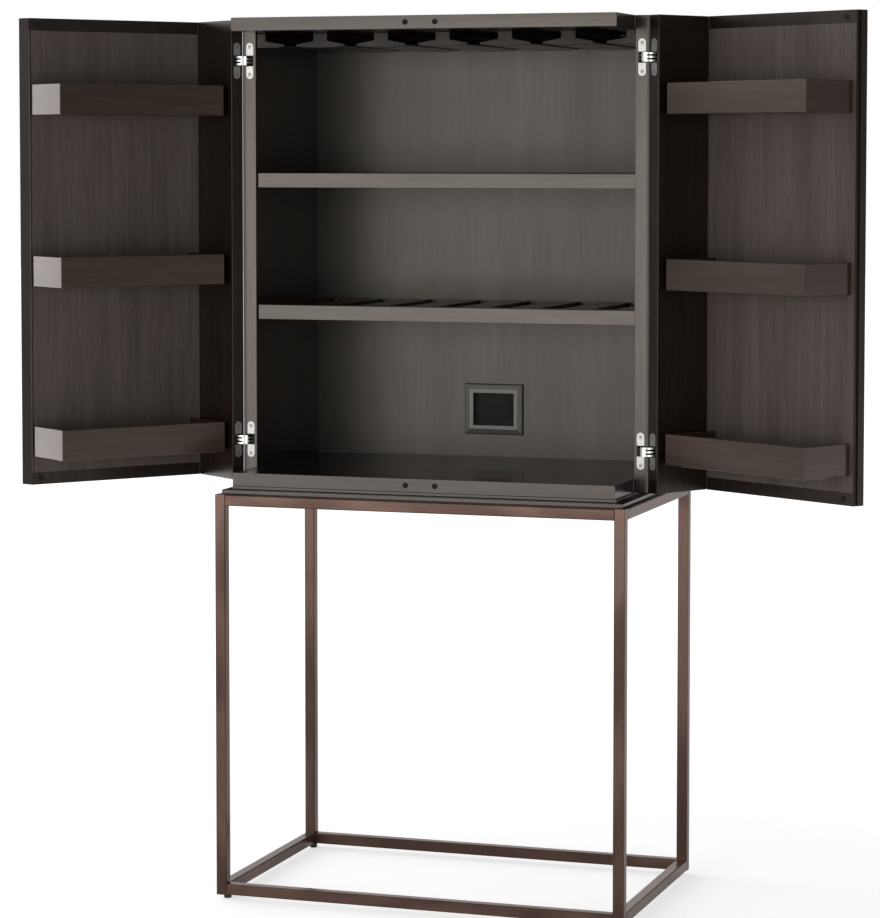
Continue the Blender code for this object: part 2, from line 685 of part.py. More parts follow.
def hinge_link(name, side, location):
    """Link that carries the door: one hub with plates that reach by turns into door and carcass."""
    bm = bmesh.new()
    bmesh.ops.create_grid(bm, x_segments=2 * LINK_STEPS, y_segments=LINK_PLATES, size=1.0)
    spare = []
    for face in bm.faces:
        across, up, _ = face.calc_center_median()
        into_door = int((up + 1.0) / 2 * LINK_PLATES) % 2 == 0
        beyond_hub = abs(across) * LINK_STEPS > LINK_HUB_STEPS
        if beyond_hub and into_door != (across > 0.0):
            spare.append(face)
    bmesh.ops.delete(bm, geom=spare, context="FACES")
    swept = bmesh.ops.extrude_face_region(bm, geom=bm.faces[:])
    outside = {item for item in swept["geom"] if isinstance(item, bmesh.types.BMVert)}
    for vert in bm.verts:
        radius = LINK_RADIUS + LINK_THICKNESS / 2 * (1 if vert in outside else -1)
        turn = vert.co.x * LINK_REACH
        height = vert.co.y * LINK_HUB_HEIGHT / 2
        vert.co = door_point(side, radius * cos(turn), radius * sin(turn), height)
    link = part(name, bm, "nickel", cabinet, location)
    link.rotation_euler = (0.0, 0.0, SIDES[side] * OPENINGS[side] / 2)


def door_side(side):
    """Carcass side, door, trays and hinges of one side."""
    sign = SIDES[side]
    hinge_line = Vector((sign * AXIS_X, HINGE_PLANE, 0.0))
    axis = axis_empty(f"door_axis_{side}", hinge_line, sign * OPENINGS[side], cabinet)
    panel = side_panel(side)
    door_front(side, axis)
    board = door_return(side, axis)
    door_trays(side, axis)
    for place, height in HINGE_HEIGHTS.items():
        lifted = Vector((0.0, 0.0, height))
        hinge_leaf(f"hinge_carcass_leaf_{place}_{side}", side, -1, panel, cabinet, hinge_line + lifted)
        hinge_leaf(f"hinge_door_leaf_{place}_{side}", side, 1, board, axis, lifted)
        hinge_link(f"hinge_link_{place}_{side}", side, hinge_line + lifted)


stand()
plinth()
carcass_panel("bottom_panel", BODY_BOTTOM)
carcass_panel("top_panel", BAY_TOP)
back_panel()
cable_port()
shelf("upper_shelf", UPPER_SHELF_TOP)
bottle_shelf()
glass_rails()
for door in SIDES:
    door_side(door)
bpy.context.view_layer.update()
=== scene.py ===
import json
from math import radians

import bmesh
import bpy
from mathutils import Matrix, Vector


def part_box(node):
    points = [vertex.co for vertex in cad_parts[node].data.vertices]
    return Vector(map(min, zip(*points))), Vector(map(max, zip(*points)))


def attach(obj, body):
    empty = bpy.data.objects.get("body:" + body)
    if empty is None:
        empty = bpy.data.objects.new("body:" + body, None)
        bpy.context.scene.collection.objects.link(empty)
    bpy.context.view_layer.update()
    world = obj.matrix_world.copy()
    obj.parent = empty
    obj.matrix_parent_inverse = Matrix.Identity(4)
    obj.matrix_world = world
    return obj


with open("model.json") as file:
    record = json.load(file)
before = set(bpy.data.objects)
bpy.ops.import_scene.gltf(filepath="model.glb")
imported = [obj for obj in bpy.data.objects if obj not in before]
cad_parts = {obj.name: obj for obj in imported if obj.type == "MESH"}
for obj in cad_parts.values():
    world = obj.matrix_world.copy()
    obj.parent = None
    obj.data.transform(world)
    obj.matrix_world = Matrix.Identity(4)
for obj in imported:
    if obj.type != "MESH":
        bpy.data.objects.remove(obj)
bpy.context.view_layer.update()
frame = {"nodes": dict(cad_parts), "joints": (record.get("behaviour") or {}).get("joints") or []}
bpy.ops.object.select_all(action="DESELECT")

# Stand: square steel tube, cut to length, welded and ground flush at the corners.
# A warm bronze patina is rubbed along each tube and sealed under a satin lacquer.
BRONZE_TONES = (
    (0.058, 0.0281, 0.0207, 1.0),
    (0.082, 0.0426, 0.0322, 1.0),
    (0.114, 0.0626, 0.0481, 1.0),
)
BRONZE_EDGE = (0.92, 0.84, 0.80, 1.0)
BRONZE_METALLIC = 0.6
BRONZE_ROUGHNESS = (0.255, 0.295)
LACQUER_WEIGHT, LACQUER_ROUGHNESS = 0.15, 0.25
CLOUD_GRAIN, CLOUD_SHARE = (18.0, 6.0, 1.0), 0.93
RUBBED_GRAIN, RUBBED_SHARE = (520.0, 18.0, 2.0), 0.07
RUBBED_RELIEF = (0.00004, 0.10)
TONE_PLACES = (0.38, 0.50, 0.63)
NOISE_LOW, NOISE_HIGH = 0.3, 0.7
QUARTER_TURN = radians(90)
UPRIGHT = (0.0, 0.0, 0.0)
ACROSS = (0.0, QUARTER_TURN, 0.0)
FORWARD = (0.0, QUARTER_TURN, QUARTER_TURN)


def set_inputs(tree, node, inputs):
    """Set or link the inputs of a node."""
    for socket, value in inputs.items():
        if isinstance(value, bpy.types.NodeSocket):
            tree.links.new(value, node.inputs[socket])
        else:
            node.inputs[socket].default_value = value


def shader_node(tree, kind, inputs, **settings):
    """One shader node with its settings made and its inputs set or linked."""
    made = tree.nodes.new(kind)
    for key, value in settings.items():
        setattr(made, key, value)
    set_inputs(tree, made, inputs)
    return made


def math_node(tree, operation, *values):
    """Result of one arithmetic step."""
    inputs = dict(enumerate(values))
    return shader_node(tree, "ShaderNodeMath", inputs, operation=operation).outputs[0]


def new_finish(name):
    """A material with its node tree and its shader."""
    finish = bpy.data.materials.new(name)
    finish.use_nodes = True
    return finish, finish.node_tree, finish.node_tree.nodes["Principled BSDF"]


def object_place(tree):
    """Place on the piece, in metres."""
    return shader_node(tree, "ShaderNodeTexCoord", {}).outputs["Object"]


def along_piece(tree, turn):
    """Coordinates of the piece, turned so that its grain runs along their Z."""
    turned = {"Vector": object_place(tree), "Rotation": turn}
    return shader_node(tree, "ShaderNodeMapping", turned, vector_type="TEXTURE").outputs["Vector"]


def grain_noise(tree, along, grain):
    """Noise drawn out along the grain.

    A grain is the repeats in a metre across and along, and the detail of the noise.
    """
    across, length, detail = grain
    drawn = {"Vector": along, "Scale": (across, across, length)}
    stretched = shader_node(tree, "ShaderNodeMapping", drawn).outputs["Vector"]
    settings = {"Vector": stretched, "Scale": 1.0, "Detail": detail}
    return shader_node(tree, "ShaderNodeTexNoise", settings).outputs["Fac"]


def colour_steps(tree, factor, places, colours):
    """A colour ramp with the given colours at the given places."""
    ramp = shader_node(tree, "ShaderNodeValToRGB", {"Fac": factor})
    elements = ramp.color_ramp.elements
    while len(elements) < len(places):
        elements.new(places[len(elements) - 1])
    for element, position, colour in zip(elements, places, colours):
        element.position = position
        element.color = colour
    return ramp.outputs["Color"]


def map_range(tree, value, low, high, to_low=0.0, to_high=1.0):
    """A value mapped from one range to another, and held at its ends."""
    inputs = {"Value": value, "From Min": low, "From Max": high}
    inputs.update({"To Min": to_low, "To Max": to_high})
    return shader_node(tree, "ShaderNodeMapRange", inputs).outputs["Result"]


def spread(tree, noise, values):
    """Noise mapped from its usual spread to a pair of values."""
    return map_range(tree, noise, NOISE_LOW, NOISE_HIGH, *values)


def raised(tree, height, relief):
    """Surface relief from a height between nothing and one.

    A relief is its depth in metres and its strength.
    """
    depth, strength = relief
    values = {"Height": height, "Distance": depth, "Strength": strength}
    return shader_node(tree, "ShaderNodeBump", values).outputs["Normal"]


def bronze_patina(name, turn):
    """Bronze patina on steel tube, rubbed along the tube."""
    finish, tree, shader = new_finish(name)
    along = along_piece(tree, turn)
    rubbed = grain_noise(tree, along, RUBBED_GRAIN)
    cloud = math_node(tree, "MULTIPLY", grain_noise(tree, along, CLOUD_GRAIN), CLOUD_SHARE)
    tone = math_node(tree, "MULTIPLY_ADD", rubbed, RUBBED_SHARE, cloud)
    look = {
        "Base Color": colour_steps(tree, tone, TONE_PLACES, BRONZE_TONES),
        "Roughness": spread(tree, rubbed, BRONZE_ROUGHNESS),
        "Normal": raised(tree, rubbed, RUBBED_RELIEF),
        "Metallic": BRONZE_METALLIC,
        "Specular Tint": BRONZE_EDGE,
        "Coat Weight": LACQUER_WEIGHT,
        "Coat Roughness": LACQUER_ROUGHNESS,
    }
    set_inputs(tree, shader, look)
    return finish


def finish_nodes(finish, *starts):
    """Give a finish to the carried-over solids whose names start so."""
    for name, solid in frame["nodes"].items():
        if name.startswith(starts):
            solid.data.materials.clear()
            solid.data.materials.append(finish)


finish_nodes(bronze_patina("bronze_legs", UPRIGHT), "stand_leg_")
for level in ("base", "top"):
    rails = f"stand_{level}_rail_"
    finish_nodes(bronze_patina(f"bronze_{level}_across", ACROSS), rails + "front", rails + "back")
    finish_nodes(bronze_patina(f"bronze_{level}_forward", FORWARD), rails + "left", rails + "right")

# Glides: turned feet of black nylon that keep the stand off the floor.
# Each has a square plug, which is pressed into the open end of a leg.
NYLON_TONES = ((0.0070, 0.0070, 0.0075, 1.0), (0.0200, 0.0200, 0.0205, 1.0))
NYLON_PLACES = (0.35, 0.75)
NYLON_ROUGHNESS = (0.45, 0.62)
NYLON_GRAIN = (2600.0, 2600.0, 2.0)
NYLON_RELIEF = (0.00003, 0.4)
GLIDE_SHEEN = 0.5


def moulded_nylon(name, sheen):
    """Black moulded nylon with a fine matt grain."""
    finish, tree, shader = new_finish(name)
    grain = grain_noise(tree, object_place(tree), NYLON_GRAIN)
    look = {
        "Base Color": colour_steps(tree, grain, NYLON_PLACES, NYLON_TONES),
        "Roughness": spread(tree, grain, NYLON_ROUGHNESS),
        "Normal": raised(tree, grain, NYLON_RELIEF),
        "Specular IOR Level": sheen,
    }
    set_inputs(tree, shader, look)
    return finish


finish_nodes(moulded_nylon("black_nylon", GLIDE_SHEEN), "glide_")

# Carcass: plinth, bottom, top and sides of board faced with a dark stained veneer, grain along
# each board, under a satin lacquer that leaves the pores open. The boards are dowelled and glued.
DARK_VENEER = {
    "stain": (
        (0.0030, 0.0017, 0.0011, 1.0),
        (0.0062, 0.0036, 0.0025, 1.0),
        (0.0120, 0.0076, 0.0056, 1.0),
    ),
    "roughness": (0.27, 0.20),
    "sheen": (0.62, 0.76),
    "tint": (1.0, 0.89, 0.81, 1.0),
}
FIGURE_GRAIN, FIGURE_SHARE = (15.0, 1.3, 3.0), 0.45
STREAK_GRAIN, STREAK_SHARE = (170.0, 6.0, 3.0), 0.33
FIBRE_GRAIN, FIBRE_SHARE = (1100.0, 26.0, 2.0), 0.22
PORE_GRAIN = (1700.0, 48.0, 1.0)
PORE_OPEN, PORE_FILLED = 0.30, 0.40
PORE_SHADE = 0.55
PORE_RELIEF = (0.00012, 0.30)
MIX_SOCKETS = {"FLOAT": (2, 3, 0), "VECTOR": (4, 5, 1), "RGBA": (6, 7, 2)}


def mixed(tree, kind, factor, first, second, **settings):
    """One input or the other by a factor: numbers, vectors or colours, as the kind says."""
    first_socket, second_socket, result = MIX_SOCKETS[kind]
    inputs = {"Factor": factor, first_socket: first, second_socket: second}
    return shader_node(tree, "ShaderNodeMix", inputs, data_type=kind, **settings).outputs[result]


def stained(tree, tone, kind):
    """Colour, roughness and sheen of one kind of surface."""
    colour = colour_steps(tree, tone, TONE_PLACES, kind["stain"])
    return colour, spread(tree, tone, kind["roughness"]), spread(tree, tone, kind["sheen"])


def veneer(name, grain, kind, inlay=None, inlay_places=None):
    """Stained veneer: broad figure, streaks, fibres and open pores along the grain.

    An inlay is another kind of surface at some places of the same piece.
    """
    finish, tree, shader = new_finish(name)
    along = grain(tree)
    figure = math_node(tree, "MULTIPLY", grain_noise(tree, along, FIGURE_GRAIN), FIGURE_SHARE)
    streak = grain_noise(tree, along, STREAK_GRAIN)
    fibre = grain_noise(tree, along, FIBRE_GRAIN)
    lined = math_node(tree, "MULTIPLY_ADD", streak, STREAK_SHARE, figure)
    tone = math_node(tree, "MULTIPLY_ADD", fibre, FIBRE_SHARE, lined)
    colour, rough, sheen = stained(tree, tone, kind)
    if inlay:
        here = inlay_places(tree)
        inlay_colour, inlay_rough, inlay_sheen = stained(tree, tone, inlay)
        colour = mixed(tree, "RGBA", here, colour, inlay_colour)
        rough = mixed(tree, "FLOAT", here, rough, inlay_rough)
        sheen = mixed(tree, "FLOAT", here, sheen, inlay_sheen)
    pores = grain_noise(tree, along, PORE_GRAIN)
    pitted = map_range(tree, pores, PORE_OPEN, PORE_FILLED, PORE_SHADE)
    look = {
        "Base Color": mixed(tree, "RGBA", 1.0, colour, pitted, blend_type="MULTIPLY"),
        "Roughness": rough,
        "Specular IOR Level": sheen,
        "Normal": raised(tree, pitted, PORE_RELIEF),
        "Specular Tint": kind["tint"],
    }
    set_inputs(tree, shader, look)
    return finish


def straight(turn):
    """Grain in one direction over the whole piece."""
    return lambda tree: along_piece(tree, turn)


level_boards = ("plinth_board", "bottom_panel", "top_panel")
finish_nodes(veneer("veneer_upright", straight(UPRIGHT), DARK_VENEER), "side_panel_")
finish_nodes(veneer("veneer_across", straight(ACROSS), DARK_VENEER), *level_boards)

# Back panel: a thinner board with the greyer lining veneer, grain upright.
# It is let in flush between the sides, the top and the bottom, and glued.
LINING_VENEER = {
    "stain": (
        (0.0124, 0.0099, 0.0079, 1.0),
        (0.0165, 0.0134, 0.0109, 1.0),
        (0.0222, 0.0183, 0.0151, 1.0),
    ),
    "roughness": (0.38, 0.33),
    "sheen": (0.56, 0.64),
    "tint": (1.0, 0.925, 0.825, 1.0),
}
finish_nodes(veneer("veneer_back", straight(UPRIGHT), LINING_VENEER), "back_panel")

# Cable port: a mitred hardwood frame with sloped faces, let through the back panel, round a
# shallow tub that is stained matt black so that cables and plugs don't show.
# The frame's stain is far lighter than the back panel's: painted light that makes up for the light
# its sloped faces miss.
PORT_FRAME = {
    "stain": (
        (0.0400, 0.0345, 0.0300, 1.0),
        (0.0620, 0.0545, 0.0482, 1.0),
        (0.0900, 0.0805, 0.0725, 1.0),
    ),
    "roughness": (0.46, 0.34),
    "sheen": (0.80, 1.0),
    "tint": (1.0, 0.97, 0.92, 1.0),
}
MATT_BLACK = {
    "stain": (
        (0.0160, 0.0142, 0.0126, 1.0),
        (0.0225, 0.0200, 0.0178, 1.0),
        (0.0300, 0.0268, 0.0240, 1.0),
    ),
    "roughness": (0.75, 0.65),
    "sheen": (0.12, 0.20),
}
port_low, port_high = (Vector(corner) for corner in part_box("cable_port"))
port_middle = (port_low + port_high) / 2
port_half = (port_high - port_low) / 2
tub_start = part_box("back_panel")[0][1]


def axis_share(tree, vector, axis):
    """One coordinate of a vector."""
    return shader_node(tree, "ShaderNodeSeparateXYZ", {"Vector": vector}).outputs[axis]


def distance_from(tree, value, middle):
    """How far a value is from a middle, on either side."""
    return math_node(tree, "ABSOLUTE", math_node(tree, "SUBTRACT", value, middle))


def mitred_grain(tree):
    """Grain across in the rails and upright in the stiles, changing at the mitres."""
    place = object_place(tree)
    aside = distance_from(tree, axis_share(tree, place, "X"), port_middle.x)
    above = distance_from(tree, axis_share(tree, place, "Z"), port_middle.z)
    beyond = math_node(tree, "SUBTRACT", aside, above)
    stile = math_node(tree, "GREATER_THAN", beyond, port_half.x - port_half.z)
    return mixed(tree, "VECTOR", stile, along_piece(tree, ACROSS), along_piece(tree, UPRIGHT))


def tub_places(tree):
    """One inside the tub, behind the face of the back panel."""
    return math_node(tree, "GREATER_THAN", axis_share(tree, object_place(tree), "Y"), tub_start)


port_finish = veneer("veneer_port", mitred_grain, PORT_FRAME, MATT_BLACK, tub_places)
finish_nodes(port_finish, "cable_port")

# Shelves: veneered boards with lipped fronts, grain across the cabinet, fixed between the sides.
# The lower one is slotted from front to back for bottles that lie down.
finish_nodes(veneer("veneer_shelves", straight(ACROSS), DARK_VENEER), "upper_shelf", "bottle_shelf")

# Stemware rails: hardwood strips of inverted T section, stained like the veneer, with the rougher
# grain of the sawn ends at the front. They are planed to shape and screwed up into the top.
END_GRAIN = {
    "stain": (
        (0.0060, 0.0045, 0.0036, 1.0),
        (0.0100, 0.0078, 0.0064, 1.0),
        (0.0160, 0.0130, 0.0110, 1.0),
    ),
    "roughness": (0.58, 0.48),
    "sheen": (0.42, 0.58),
}
FACING_LIMIT = 0.7


def faces_along(tree, way):
    """One on faces that look along a way or against it."""
    facing = shader_node(tree, "ShaderNodeTexCoord", {}).outputs["Normal"]
    compared = {0: facing, 1: way}
    share = shader_node(tree, "ShaderNodeVectorMath", compared, operation="DOT_PRODUCT")
    reach = math_node(tree, "ABSOLUTE", share.outputs["Value"])
    return math_node(tree, "GREATER_THAN", reach, FACING_LIMIT)


def end_places(tree):
    """One on the sawn ends of a strip that runs forward."""
    return faces_along(tree, (0.0, 1.0, 0.0))


rail_finish = veneer("veneer_rails", straight(FORWARD), DARK_VENEER, END_GRAIN, end_places)
finish_nodes(rail_finish, "glass_rail_")

# Doors: a veneered front panel mitred to a veneered return, grain upright. A thin lining sheet with
# a matt, greyer veneer is glued on the inside, and leaves a bare band where the door meets the
# carcass.
DOOR_BOARD = {
    "stain": (
        (0.0060, 0.0030, 0.0018, 1.0),
        (0.0105, 0.0056, 0.0036, 1.0),
        (0.0180, 0.0102, 0.0070, 1.0),
    ),
    "roughness": (0.32, 0.25),
    "sheen": (0.40, 0.52),
    "tint": DARK_VENEER["tint"],
}
DOOR_SHEET = {
    "stain": (
        (0.0545, 0.0411, 0.0357, 1.0),
        (0.0755, 0.0585, 0.0514, 1.0),
        (0.1010, 0.0815, 0.0730, 1.0),
    ),
    "roughness": (0.54, 0.46),
    "sheen": (0.40, 0.52),
}
SHEET_PLANE = 0.1305
SHEET_EDGE = {"left": 0.3945, "right": 0.4040}
SIDES = {"left": -1, "right": 1}
hinges = {}
for side in SIDES:
    joint = next(item for item in frame["joints"] if item["name"] == f"{side}_door_hinge")
    opening = -radians(joint["range_deg"][0]) * joint["axis"][2]
    hinges[side] = (Vector((joint["pos_m"][0], joint["pos_m"][1], 0.0)), opening)


def on_door(side, across, forward, height):
    """Place of a point of the open door, from its distances to the axis in the closed door."""
    axis, opening = hinges[side]
    closed = Vector((-SIDES[side] * across, -forward, height))
    return axis + Matrix.Rotation(opening, 3, "Z") @ closed


def sheet_places(side):
    """One on the lining sheet inside a door."""

    def places(tree):
        axis, opening = hinges[side]
        turned = {
            "Vector": object_place(tree),
            "Location": axis,
            "Rotation": (0.0, 0.0, opening),
        }
        mapping = shader_node(tree, "ShaderNodeMapping", turned, vector_type="TEXTURE")
        closed = mapping.outputs["Vector"]
        inside = math_node(tree, "GREATER_THAN", axis_share(tree, closed, "Y"), -SHEET_PLANE)
        across = math_node(tree, "MULTIPLY", axis_share(tree, closed, "X"), -SIDES[side])
        short = math_node(tree, "LESS_THAN", across, SHEET_EDGE[side])
        return math_node(tree, "MULTIPLY", inside, short)

    return places


for side in SIDES:
    lined = sheet_places(side)
    board = veneer(f"veneer_door_{side}", straight(UPRIGHT), DOOR_BOARD, DOOR_SHEET, lined)
    finish_nodes(board, f"door_front_{side}")
finish_nodes(veneer("veneer_returns", straight(UPRIGHT), DOOR_BOARD), "door_return_")

# Door trays: a front and two ends mitred from one veneered strip, grain along the strip, and a
# floor between them. They are screwed to the door from behind.
TRAY_VENEER = {
    "stain": (
        (0.0200, 0.0098, 0.0064, 1.0),
        (0.0305, 0.0158, 0.0108, 1.0),
        (0.0440, 0.0252, 0.0183, 1.0),
    ),
    "roughness": (0.22, 0.16),
    "sheen": (0.76, 0.90),
    "tint": (1.0, 0.86, 0.77, 1.0),
}


def strip_grain(way):
    """Grain along the tray's front, and along each end where the face turns."""

    def grain(tree):
        end = faces_along(tree, Matrix.Rotation(way, 3, "Z") @ Vector((1.0, 0.0, 0.0)))
        front_grain = along_piece(tree, (0.0, QUARTER_TURN, way))
        end_grain = along_piece(tree, (0.0, QUARTER_TURN, way + QUARTER_TURN))
        return mixed(tree, "VECTOR", end, front_grain, end_grain)

    return grain


for side, (_, opening) in hinges.items():
    tray_finish = veneer(f"veneer_trays_{side}", strip_grain(opening), TRAY_VENEER)
    for place in ("bottom", "middle", "top"):
        tray, tray_floor = f"door_tray_{place}_{side}", f"door_tray_floor_{place}_{side}"
        finish_nodes(tray_finish, tray, tray_floor)

# Hinges: mortised link hinges. The leaves are cast, nickel plated and let in flush, and a band
# across the cup is painted dark as shade. The steel link between them is bright nickel.
LEAF_NICKEL, LEAF_ROUGHNESS = (0.40, 0.391, 0.368, 1.0), (0.32, 0.42)
LINK_NICKEL, LINK_ROUGHNESS = (0.74, 0.725, 0.690, 1.0), (0.24, 0.34)
POLISH_GRAIN = (2400.0, 160.0, 2.0)
POLISH_RELIEF = (0.00002, 0.3)
# Painted shade: the near-black band across the hinge cup stands in for the shade inside the cup.
CUP_SHADE = (0.020, 0.019, 0.018, 1.0)
CUP_HALF_HEIGHT = 0.0105
HINGE_LEVELS = ("lower", "upper")


def plated(name, colour, roughness):
    """Nickel plate with faint polishing marks along the piece."""
    finish, tree, shader = new_finish(name)
    marks = grain_noise(tree, along_piece(tree, UPRIGHT), POLISH_GRAIN)
    look = {
        "Base Color": colour,
        "Metallic": 1.0,
        "Roughness": spread(tree, marks, roughness),
        "Normal": raised(tree, marks, POLISH_RELIEF),
    }
    set_inputs(tree, shader, look)
    return finish


def leaf_nickel(name, middle):
    """Nickel leaf with a band across its cup, about its middle height, painted dark as shade."""
    finish = plated(name, LEAF_NICKEL, LEAF_ROUGHNESS)
    tree = finish.node_tree
    # The band about the middle height is the painted shade of the cup.
    away = distance_from(tree, axis_share(tree, object_place(tree), "Z"), middle)
    in_cup = math_node(tree, "LESS_THAN", away, CUP_HALF_HEIGHT)
    colour = mixed(tree, "RGBA", in_cup, LEAF_NICKEL, CUP_SHADE)
    set_inputs(tree, tree.nodes["Principled BSDF"], {"Base Color": colour})
    return finish


for level in HINGE_LEVELS:
    leaf_low, leaf_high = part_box(f"hinge_carcass_leaf_{level}_left")
    leaf_finish = leaf_nickel(f"nickel_leaf_{level}", (leaf_low[2] + leaf_high[2]) / 2)
    finish_nodes(leaf_finish, f"hinge_carcass_leaf_{level}", f"hinge_door_leaf_{level}")
finish_nodes(plated("nickel_link", LINK_NICKEL, LINK_ROUGHNESS), "hinge_link_")

# Hinge screws: countersunk steel screws with a cross recess, nickel plated like the leaves, two in
# each leaf, driven flush.
SCREW_STEEL, SCREW_ROUGHNESS = (0.270, 0.263, 0.250, 1.0), (0.30, 0.42)
SCREW_SIDES = 32
SCREW_SMOOTHING = radians(35)
SCREW_RADIUS = 0.0034
SHANK_RADIUS = 0.0019
HEAD_DEPTH = 0.0015
SHANK_LENGTH = 0.0080
HEAD_INSET = 0.0009
HEAD_RISE = 0.0002
RECESS_SPAN = 0.0036
RECESS_WIDTH = 0.0008
RECESS_DEPTH = 0.0010
RECESS_TAPER = (0.6, 0.8, 1.0)
SCREW_FROM_END = 0.0080
SCREW_CLEARANCE = 0.0002
SCREW_ACROSS = 0.0135
LEAF_FORWARD = 0.00075
FLAT_LIMIT = 0.9
FACING_FRONT = Matrix.Rotation(QUARTER_TURN, 4, "X")
FACING_BACK = Matrix.Rotation(-QUARTER_TURN, 4, "X")


def select_alone(piece):
    """Make a piece the active object and the only selected one."""
    bpy.ops.object.select_all(action="DESELECT")
    piece.select_set(True)
    bpy.context.view_layer.objects.active = piece


def edit_faces(piece, wanted):
    """Go into edit mode with only the wanted faces of a piece selected."""
    select_alone(piece)
    bpy.ops.object.mode_set(mode="EDIT")
    bpy.ops.mesh.select_mode(type="FACE")
    bpy.ops.mesh.select_all(action="DESELECT")
    shape = bmesh.from_edit_mesh(piece.data)
    for face in shape.faces:
        face.select_set(wanted(face))
    bmesh.update_edit_mesh(piece.data)


def push_out(distance):
    """Extrude the selected faces upwards, or down for a negative distance."""
    bpy.ops.mesh.extrude_region_move(TRANSFORM_OT_translate={"value": (0.0, 0.0, distance)})


def upper_face(face):
    """True for a face that looks up."""
    return face.normal.z > FLAT_LIMIT


def lower_face(face):
    """True for a face that looks down."""
    return face.normal.z < -FLAT_LIMIT


def carve(piece, tool, operation="DIFFERENCE"):
    """Cut one object from another for good, or add it, and take the tool away."""
    cut = piece.modifiers.new("carve", "BOOLEAN")
    cut.operation = operation
    cut.solver = "EXACT"
    cut.object = tool
    select_alone(piece)
    bpy.ops.object.modifier_apply(modifier=cut.name)
    bpy.data.objects.remove(tool, do_unlink=True)


def copy_at(model, name, turn, place):
    """A copy of a model with a mesh of its own, with its turn and place in the mesh."""
    select_alone(model)
    bpy.ops.object.duplicate()
    copy = bpy.context.object
    copy.name = name
    copy.data.name = name
    copy.matrix_world = Matrix.Translation(place) @ turn @ model.matrix_world
    bpy.ops.object.transform_apply(location=True, rotation=True, scale=True)
    return copy


bpy.ops.mesh.primitive_cone_add(
    vertices=SCREW_SIDES,
    radius1=SHANK_RADIUS,
    radius2=SCREW_RADIUS,
    depth=HEAD_DEPTH,
    location=(0.0, 0.0, -HEAD_DEPTH / 2),
)
screw = bpy.context.object
screw.name = "screw_model"
edit_faces(screw, upper_face)
bpy.ops.mesh.inset(thickness=HEAD_INSET)
bpy.ops.transform.translate(value=(0.0, 0.0, HEAD_RISE))
bpy.ops.object.mode_set(mode="OBJECT")
edit_faces(screw, lower_face)
push_out(-SHANK_LENGTH)
bpy.ops.object.mode_set(mode="OBJECT")
bpy.ops.mesh.primitive_cube_add(size=1.0, scale=(RECESS_SPAN, RECESS_WIDTH, 2 * RECESS_DEPTH))
recess = bpy.context.object
edit_faces(recess, lower_face)
bpy.ops.transform.resize(value=RECESS_TAPER)
bpy.ops.object.mode_set(mode="OBJECT")
crossed = Matrix.Rotation(QUARTER_TURN, 4, "Z")
second = copy_at(recess, "recess_second", crossed, (0.0, 0.0, 0.0))
carve(screw, recess)
carve(screw, second)
bpy.ops.object.shade_smooth_by_angle(angle=SCREW_SMOOTHING)
screw.data.materials.append(plated("nickel_screw", SCREW_STEEL, SCREW_ROUGHNESS))
for side, (axis, opening) in hinges.items():
    facing_in = Matrix.Rotation(opening, 4, "Z") @ FACING_BACK
    for level in HINGE_LEVELS:
        low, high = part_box(f"hinge_carcass_leaf_{level}_{side}")
        heights = (low[2] + SCREW_FROM_END, high[2] - SCREW_FROM_END)
        for number, height in enumerate(heights, start=1):
            seat = (axis.x - SIDES[side] * SCREW_ACROSS, low[1] + SCREW_CLEARANCE, height)
            piece = copy_at(screw, f"screw_carcass_{level}_{side}_{number}", FACING_FRONT, seat)
            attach(piece, "carcass")
            seat = on_door(side, SCREW_ACROSS, LEAF_FORWARD + SCREW_CLEARANCE, height)
            piece = copy_at(screw, f"screw_door_{level}_{side}_{number}", facing_in, seat)
            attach(piece, f"{side}_door")
bpy.data.objects.remove(screw, do_unlink=True)

# Catches: round magnets in black moulded cases, pressed into holes in the front edges of top and
# bottom, and a steel strike in the same case opposite each one in the doors.
CASE_SHEEN = 0.12
CATCH_SIDES = 40
CATCH_SMOOTHING = radians(40)
CATCH_RADIUS = 0.0054
CATCH_DEPTH = 0.0100
CATCH_RIM = 0.0011
CATCH_WELL = 0.0004
CATCH_CORE_RIM = 0.0012
CATCH_RISE = 0.0007
CATCH_EASE, CATCH_EASE_STEPS = 0.00025, 2
CATCH_FROM_MEETING = 0.0294
CATCH_HEIGHTS = {"bottom": 0.81465, "top": 1.68725}
BAND_FORWARD = 0.1309

bpy.ops.mesh.primitive_cylinder_add(
    vertices=CATCH_SIDES,
    radius=CATCH_RADIUS,
    depth=CATCH_DEPTH,
    location=(0.0, 0.0, -CATCH_DEPTH / 2),
)
catch = bpy.context.object
catch.name = "catch_model"
edit_faces(catch, upper_face)
bpy.ops.mesh.inset(thickness=CATCH_RIM)
push_out(-CATCH_WELL)
bpy.ops.mesh.inset(thickness=CATCH_CORE_RIM)
push_out(CATCH_WELL / 2)
bpy.ops.object.mode_set(mode="OBJECT")
rounding = catch.modifiers.new("rounding", "BEVEL")
rounding.width = CATCH_EASE
rounding.segments = CATCH_EASE_STEPS
bpy.ops.object.modifier_apply(modifier=rounding.name)
bpy.ops.object.shade_smooth_by_angle(angle=CATCH_SMOOTHING)
catch.data.materials.append(moulded_nylon("black_case", CASE_SHEEN))
top_low, top_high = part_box("top_panel")
middle = (top_low[0] + top_high[0]) / 2
for side, (axis, opening) in hinges.items():
    facing_in = Matrix.Rotation(opening, 4, "Z") @ FACING_BACK
    for place, height in CATCH_HEIGHTS.items():
        panel_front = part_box(f"{place}_panel")[0][1]
        seat = (middle + SIDES[side] * CATCH_FROM_MEETING, panel_front - CATCH_RISE, height)
        piece = copy_at(catch, f"catch_{place}_{side}", FACING_FRONT, seat)
        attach(piece, "carcass")
        across = abs(axis.x - middle) - CATCH_FROM_MEETING
        seat = on_door(side, across, BAND_FORWARD - CATCH_RISE, height)
        piece = copy_at(catch, f"strike_{place}_{side}", facing_in, seat)
        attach(piece, f"{side}_door")
bpy.data.objects.remove(catch, do_unlink=True)

